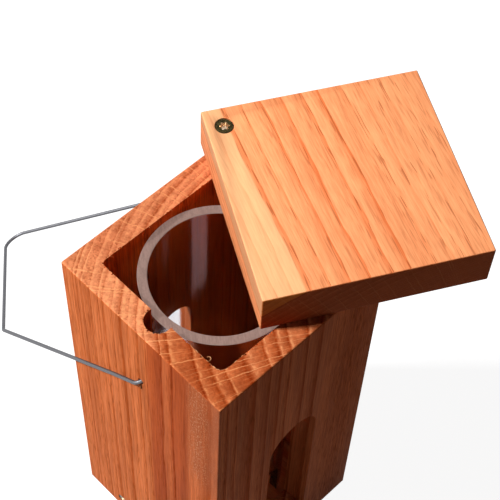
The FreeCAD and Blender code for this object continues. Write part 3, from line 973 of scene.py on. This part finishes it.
class FEEDER_OT_post(bpy.types.Operator):
    """Build the two halves of the post with their torn inner edges"""

    bl_idname = "feeder.post"
    bl_label = "Post halves"

    def execute(self, context):
        sizes = context.scene.feeder_sizes
        oak = context.scene.feeder_oak
        tree = torn_edge_tree()
        fibres = splinter_tree()
        long_grain, inner_grain, end_grain, fibre = post_oak(oak)
        # Wood counts as inner up to these limits from the side faces and into the front and back walls
        side_limit = 4 * MM
        wall_limit = 0.6 * MM
        fringes = []
        for half, side, seed in (("front", -1, 3), ("back", 1, 8)):
            node = "post_" + half + "_half"
            edge = inner_edge(sizes, side)
            path = placed("edge_path", polyline("edge_path", edge))
            piece = placed("oak_post_" + half, merged_copy(node, "oak_post_" + half))
            grown(piece, tree, Path=path, Chip_Size=sizes.chip, Chip_Spacing=sizes.chip_spacing, Seed=seed,
                  Grain_Axis=(0, 0, 1), Inner_Half_Width=post_half - side_limit,
                  Inner_Half_Depth=post_half - sizes.wall + wall_limit,
                  Long_Grain=long_grain, Inner_Grain=inner_grain, End_Grain=end_grain)
            smooth(piece)
            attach(piece, "post")
            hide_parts(node)
            path.name = "splinters_" + half
            grown(path, fibres, Fibre_Length=sizes.splinter, Spacing=sizes.splinter_spacing, Seed=seed,
                  Material=end_grain)
            fringes.append(path)
            if side < 0:
                # The left front corner, from halfway along the left wall to a little way along the front
                left_run = 17 * MM
                front_run = 11 * MM
                corner = edge[EDGE_STEPS + 1:2 * EDGE_STEPS + 2]
                ragged = [(corner[0][0], corner[0][1] + left_run, post_top), *corner,
                          (corner[-1][0] + front_run, corner[-1][1], post_top)]
                fringe = placed("fringe", polyline("fringe", ragged))
                grown(fringe, fibres, Fibre_Length=sizes.fringe, Spacing=sizes.fringe_spacing,
                      Drop=0.25 * MM, Seed=5, Material=fibre)
                # The lip hangs low enough for the closing lid to pass over it
                lowered = [(x, y, z - 0.15 * MM) for x, y, z in ragged]
                lip = placed("torn_lip", polyline("torn_lip", lowered))
                grown(lip, torn_lip_tree(), Thickness=sizes.lip, Seed=2, Material=fibre)
                fringes += [fringe, lip]
        # A curled sliver on that edge and a chip at the hanger's hole
        curl = ((-41.3, -32.2, -0.3), (-40.2, -32.9, -0.1), (-39.0, -32.4, 0.0), (-38.8, -31.0, -0.2),
                (-39.7, -30.4, -0.6))
        chip = ((-55.1, 0.3, -48.4), (-55.35, 0.1, -50.6), (-55.0, -0.2, -52.8))
        bend = 0.7 * MM
        for name, points, thickness in (("sliver_curl", curl, 0.33 * MM), ("sliver_hole", chip, 0.9 * MM)):
            spots = [(x * MM, y * MM, post_top + z * MM) for x, y, z in points]
            sliver = placed(name, polyline(name, spots, bend=[bend] * len(spots)))
            fringes.append(grown(sliver, bent_wire_tree(), Wire_Diameter=thickness, Sides=6, Material=fibre))
        for fringe in fringes:
            smooth(fringe)
            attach(fringe, "post")
        return {"FINISHED"}


class FEEDER_OT_floor_board(bpy.types.Operator):
    """Give the floor board its oak"""

    bl_idname = "feeder.floor_board"
    bl_label = "Floor board"

    def execute(self, context):
        oak = context.scene.feeder_oak
        amounts = {"Ray_Amount": 0.15, "Pore_Amount": 0.7, "Fibre_Amount": 0.5, "Band_Contrast": 0.8}
        along_board = Vector((0, 1, 0))
        away = Vector((-0.2, 0, 1))
        wood = oak_material("oak_floor_board", along_board, Vector(), away, distance=95.0,
                            shades=oak_shades(oak, "post"), amounts=amounts, relief=0.35)
        board = frame["nodes"]["floor_board"]
        board.data.materials.clear()
        board.data.materials.append(wood)
        return {"FINISHED"}


class FEEDER_OT_tube(bpy.types.Operator):
    """Build the clear seed tube with its sawn rim and the two notches at its foot"""

    bl_idname = "feeder.tube"
    bl_label = "Seed tube"

    def execute(self, context):
        sizes = context.scene.feeder_sizes
        fittings = context.scene.feeder_fittings
        outer = tube_high.x - tube_middle.x
        inner = outer - sizes.tube_wall
        edge = sizes.tube_chamfer
        low, top = tube_low.z, tube_high.z
        profile = [(inner, low), (outer, low), (outer, top - edge), (outer - edge, top),
                   (inner + edge, top), (inner, top - edge), (inner, low)]
        piece = placed("seed_tube", spun("seed_tube", profile, steps=192))
        # One arched bar through the whole tube cuts both notches
        half_width = sizes.notch_width / 2
        spring = low + sizes.notch_height - half_width
        arch = arc((0, spring), half_width, 0, math.pi, steps=24)
        outline = [(half_width, low - MM), *arch, (-half_width, low - MM)]
        reach = outer + MM
        skin = bmesh.new()
        front = skin.faces.new([skin.verts.new((x, -reach, z)) for x, z in outline])
        pushed = bmesh.ops.extrude_face_region(skin, geom=[front])["geom"]
        moved = [item for item in pushed if isinstance(item, bmesh.types.BMVert)]
        bmesh.ops.translate(skin, verts=moved, vec=(0, 2 * reach, 0))
        cut(piece, placed("notch", closed_skin(skin, "notch")))
        piece.data.transform(Matrix.Translation((tube_middle.x, tube_middle.y, 0)))
        piece.data.materials.clear()
        piece.data.materials.append(clear_material(tuple(fittings.tube), tuple(fittings.tube_glint)))
        piece.data.materials.append(glowing_rim_material(tuple(fittings.rim)))
        for face in piece.data.polygons:
            face.material_index = int(face.center.z > top - edge)
        smooth(piece, sharpest=30.0)
        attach(piece, "post")
        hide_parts("feed_tube")
        return {"FINISHED"}


class FEEDER_OT_lid(bpy.types.Operator):
    """Build the lid board with its straight grain and strip of sapwood"""

    bl_idname = "feeder.lid"
    bl_label = "Lid board"

    def execute(self, context):
        sizes = context.scene.feeder_sizes
        oak = context.scene.feeder_oak
        slant = 0.106
        grain = (lid_along + slant * lid_across).normalized()
        distance = 320.0
        middle = Vector((*((lid_low + lid_high) / 2).xy, lid_high.z))
        away = (UP.cross(grain) * 0.41 + Vector((0, 0, 0.912))).normalized()
        rings = {"Ring_Width": 4.35, "Ring_Wave": 2.2, "Ring_Uneven": 0.5, "Core_Radius": distance - 9.0,
                 "Core_Ring_Width": 1.9, "Core_Contrast": 0.4, "Sapwood_Radius": distance + 18.6}
        long_amounts = {"Ray_Amount": 0.04, "Pore_Amount": 0.5, "Pore_Size": 0.7, "Band_Contrast": 0.95,
                        "Ring_Line": 0.0, "Fibre_Width": 0.75, "Fibre_Length": 12.0, "Fibre_Amount": 0.75,
                        "Streak_Amount": 0.5, **rings}
        end_amounts = {"Ray_Amount": 0.12, "Pore_Amount": 0.5, "Band_Contrast": 0.8, "Ring_Line": 0.08,
                       "Band_Edge": 0.15, "Streak_Amount": 0.3, **rings}
        piece = placed("oak_lid", merged_copy("lid", "oak_lid"))
        head = sizes.lid_head / 2
        wide = head + 2 * sizes.hole_ease
        deep = 0.6 * sizes.hole_ease
        tool = spun("ease", [(0, -deep), (head, -deep), (wide, deep), (0, deep)], steps=48)
        tool.transform(Matrix.Translation((lid_screw_place.x, lid_screw_place.y, lid_high.z)))
        cut(piece, placed("ease", tool))
        piece.data.materials.clear()
        # The long sides take a darker copy of the lid's oak as painted shade
        for name, kind, amounts, relief in (("oak_lid_long", "lid", long_amounts, 0.25),
                                            ("oak_lid_end", "lid_end", end_amounts, 0.4),
                                            ("oak_lid_side", "lid_shaded_side", long_amounts, 0.25)):
            piece.data.materials.append(oak_material(
                name, grain, middle, away, distance, oak_shades(oak, kind), amounts, relief))
        for face in piece.data.polygons:
            face.material_index = 0
            if abs(face.normal.dot(lid_along)) > FACING:
                face.material_index = 1
            elif abs(face.normal.dot(lid_across)) > FACING:
                face.material_index = 2
        smooth(piece)
        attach(piece, "lid")
        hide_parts("lid")
        return {"FINISHED"}


class FEEDER_OT_screws(bpy.types.Operator):
    """Build the lid screw and the four floor screws"""

    bl_idname = "feeder.screws"
    bl_label = "Screws"

    def execute(self, context):
        sizes = context.scene.feeder_sizes
        fittings = context.scene.feeder_fittings
        # A dark metal for the heads as painted shade and a bright copy of it for the recesses as painted
        # glints
        metal = metal_material("passivated_steel", fittings.screw, fittings.screw_dark, roughness=0.24,
                               line_width=0.8, line_length=1.3)
        bare = metal_material("bare_recess", fittings.recess, fittings.recess_dark, roughness=0.1,
                              line_width=0.5, line_length=0.5)
        tree = screw_row_tree()
        lid_spot = (lid_screw_place.x, lid_screw_place.y, lid_high.z - sizes.screw_sink)
        floor_spots = []
        tilts = []
        for side in (-1, 1):
            for along in (-0.5, 0.5):
                x = side * (post_half - sizes.screw_sink)
                floor_spots.append((x, along * sizes.floor_pitch, sizes.floor_height))
                tilts.append(side * math.pi / 2)
        rows = (
            ("lid_screw_head", "lid_screw", (sizes.lid_head, sizes.lid_shank, sizes.lid_screw),
             [lid_spot], [0.0], [0.45]),
            ("floor_screw_row", "floor_screws", (sizes.floor_head, sizes.floor_shank, sizes.floor_screw),
             floor_spots, tilts, [0.3, 1.1, 0.7, 0.1]),
        )
        for name, node, shape, spots, tilt, roll in rows:
            screw = wood_screw("screw_shape", *shape)
            mesh = polyline(name, spots, tilt=tilt, roll=roll)
            piece = grown(placed(name, mesh), tree, Screw=screw, Material=metal, Recess_Material=bare)
            bpy.data.objects.remove(screw)
            smooth(piece, sharpest=32.0)
            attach(piece, "post")
            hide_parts(node)
        return {"FINISHED"}


class FEEDER_OT_hanger(bpy.types.Operator):
    """Bend the wire hanger"""

    bl_idname = "feeder.hanger"
    bl_label = "Wire hanger"

    def execute(self, context):
        sizes = context.scene.feeder_sizes
        fittings = context.scene.feeder_fittings
        hook_bend, root_bend, bow_bend = 2 * MM, 4.5 * MM, 30 * MM
        shoulder_bend, peak_bend = 4 * MM, 9.5 * MM
        root_x = post_half + sizes.leg_gap + sizes.wire / 2
        shoulder_x = root_x + sizes.leg_flare
        bow_x = root_x + sizes.leg_flare * sizes.bow_length / sizes.leg
        hook_x = post_half - sizes.wall + sizes.hook_set
        apex = sizes.leg + sizes.gable

        def spot(x, along, droop):
            return Vector((x, along * math.cos(droop), pivot_height - along * math.sin(droop)))

        ends = []
        for side in (-1, 1):
            droop = sizes.droop - side * sizes.twist / 2
            ends.append([
                (spot(side * hook_x, sizes.hook, droop), 0.0),
                (spot(side * hook_x, 0, droop), hook_bend),
                (spot(side * (root_x + sizes.leg_bow), 0, droop), root_bend),
                (spot(side * bow_x, sizes.bow_length, droop), bow_bend),
                (spot(side * shoulder_x, sizes.leg, droop), shoulder_bend),
            ])
        corners = ends[0] + [(spot(0, apex, sizes.droop), peak_bend)] + ends[1][::-1]
        places, bends = zip(*corners)
        line = polyline("wire_hanger", places, bend=bends)
        steel = metal_material("drawn_steel", fittings.wire, fittings.wire_dull, roughness=0.42,
                               line_width=0.25, line_length=9.0)
        piece = grown(placed("wire_hanger", line), bent_wire_tree(), Wire_Diameter=sizes.wire, Material=steel)
        smooth(piece, sharpest=40.0)
        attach(piece, "bail")
        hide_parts("bail")
        return {"FINISHED"}


# Stage

def shown_rays(graph):
    """1 for rays from the camera, from polished metal and through the clear tube."""
    path = graph.add("ShaderNodeLightPath").outputs
    shown = graph.math("MAXIMUM", path["Is Camera Ray"], path["Is Glossy Ray"])
    return graph.math("MAXIMUM", shown, path["Is Transmission Ray"])


class FEEDER_OT_stage(bpy.types.Operator):
    """Set up the floor, the light and the camera"""

    bl_idname = "feeder.stage"
    bl_label = "Stage"

    def execute(self, context):
        scene = context.scene
        settings = scene.feeder_stage
        scene.view_settings.view_transform = "Standard"
        # Floor, nearly white to the eye, though it sends back only a part of the light
        reach = 4.0
        low = -0.2 * MM
        corners = [(-reach, -reach, low), (reach, -reach, low), (reach, reach, low), (-reach, reach, low)]
        mesh = bpy.data.meshes.new("floor")
        mesh.from_pydata(corners, [], [(0, 1, 2, 3)])
        floor = placed("floor", mesh)
        paint = bpy.data.materials.new("floor_white")
        graph = blank(paint)
        grey = settings.floor_grey
        matt = graph.add("ShaderNodeBsdfDiffuse", Color=(grey, grey, grey, 1))
        glow_strength = 1 - grey / 3
        glow = graph.add("ShaderNodeEmission", Strength=shown_rays(graph) * glow_strength)
        both = graph.add("ShaderNodeAddShader")
        graph.put(both.inputs[0], matt.outputs[0])
        graph.put(both.inputs[1], glow.outputs[0])
        graph.add("ShaderNodeOutputMaterial", Surface=both.outputs[0])
        mesh.materials.append(paint)
        # World, white to the eye and a low, warm, even light
        world = bpy.data.worlds.new("studio")
        graph = blank(world)
        scene.world = world
        ambient = settings.ambient
        shown = shown_rays(graph)
        sky = graph.add("ShaderNodeBackground", Strength=shown * (1 - ambient) + ambient,
                        Color=graph.mix(shown, opaque(settings.ambient_tint), WHITE))
        graph.add("ShaderNodeOutputWorld", Surface=sky.outputs[0])
        # Soft light from the left and behind
        lamp = bpy.data.lights.new("soft_light", "AREA")
        lamp.shape = "SQUARE"
        lamp.size = settings.key_side
        lamp.energy = settings.key_power
        key = placed("soft_light", lamp)
        towards = Vector((-0.525, 0.455, 0.72)).normalized()
        key.location = UP * post_top + towards * settings.key_distance
        key.rotation_euler = towards.to_track_quat("Z", "Y").to_euler()
        # Camera
        lens = bpy.data.cameras.new("camera")
        lens.lens = settings.lens
        lens.sensor_width = 36
        camera = placed("camera", lens)
        right = Vector((0.71467, -0.69878, 0.03083)).normalized()
        back = Vector((-0.40445, -0.37688, 0.83329)).normalized()
        above = back.cross(right).normalized()
        right = above.cross(back)
        pose = Matrix((right, above, back)).transposed().to_4x4()
        pose.translation = Vector((-0.26300, -0.26160, post_top + 0.57391))
        camera.matrix_world = pose
        scene.camera = camera
        return {"FINISHED"}


class FEEDER_PT_sidebar(bpy.types.Panel):
    """The feeder's pieces, sizes and colours"""

    bl_idname = "FEEDER_PT_sidebar"
    bl_label = "Silo bird feeder"
    bl_space_type = "VIEW_3D"
    bl_region_type = "UI"
    bl_category = "Feeder"

    def draw(self, context):
        for operator in OPERATORS:
            self.layout.operator(operator.bl_idname)
        for attribute, group in GROUPS:
            box = self.layout.box()
            box.label(text=group.__doc__)
            for label in group.__annotations__:
                box.prop(getattr(context.scene, attribute), label)


OPERATORS = (FEEDER_OT_stage, FEEDER_OT_post, FEEDER_OT_floor_board, FEEDER_OT_tube, FEEDER_OT_lid,
             FEEDER_OT_screws, FEEDER_OT_hanger)
GROUPS = (("feeder_sizes", FeederSizes), ("feeder_oak", OakColours), ("feeder_fittings", FittingColours),
          ("feeder_stage", StageSettings))


def register():
    for attribute, group in GROUPS:
        bpy.utils.register_class(group)
        setattr(bpy.types.Scene, attribute, bpy.props.PointerProperty(type=group))
    for operator in OPERATORS:
        bpy.utils.register_class(operator)
    bpy.utils.register_class(FEEDER_PT_sidebar)


def unregister():
    bpy.utils.unregister_class(FEEDER_PT_sidebar)
    for operator in reversed(OPERATORS):
        bpy.utils.unregister_class(operator)
    for attribute, group in reversed(GROUPS):
        delattr(bpy.types.Scene, attribute)
        bpy.utils.unregister_class(group)


def main():
    """Builds the feeder and its stage."""
    register()
    bpy.ops.feeder.stage()
    bpy.ops.feeder.post()
    bpy.ops.feeder.floor_board()
    bpy.ops.feeder.tube()
    bpy.ops.feeder.lid()
    bpy.ops.feeder.screws()
    bpy.ops.feeder.hanger()


if __name__ == "__main__":
    main()
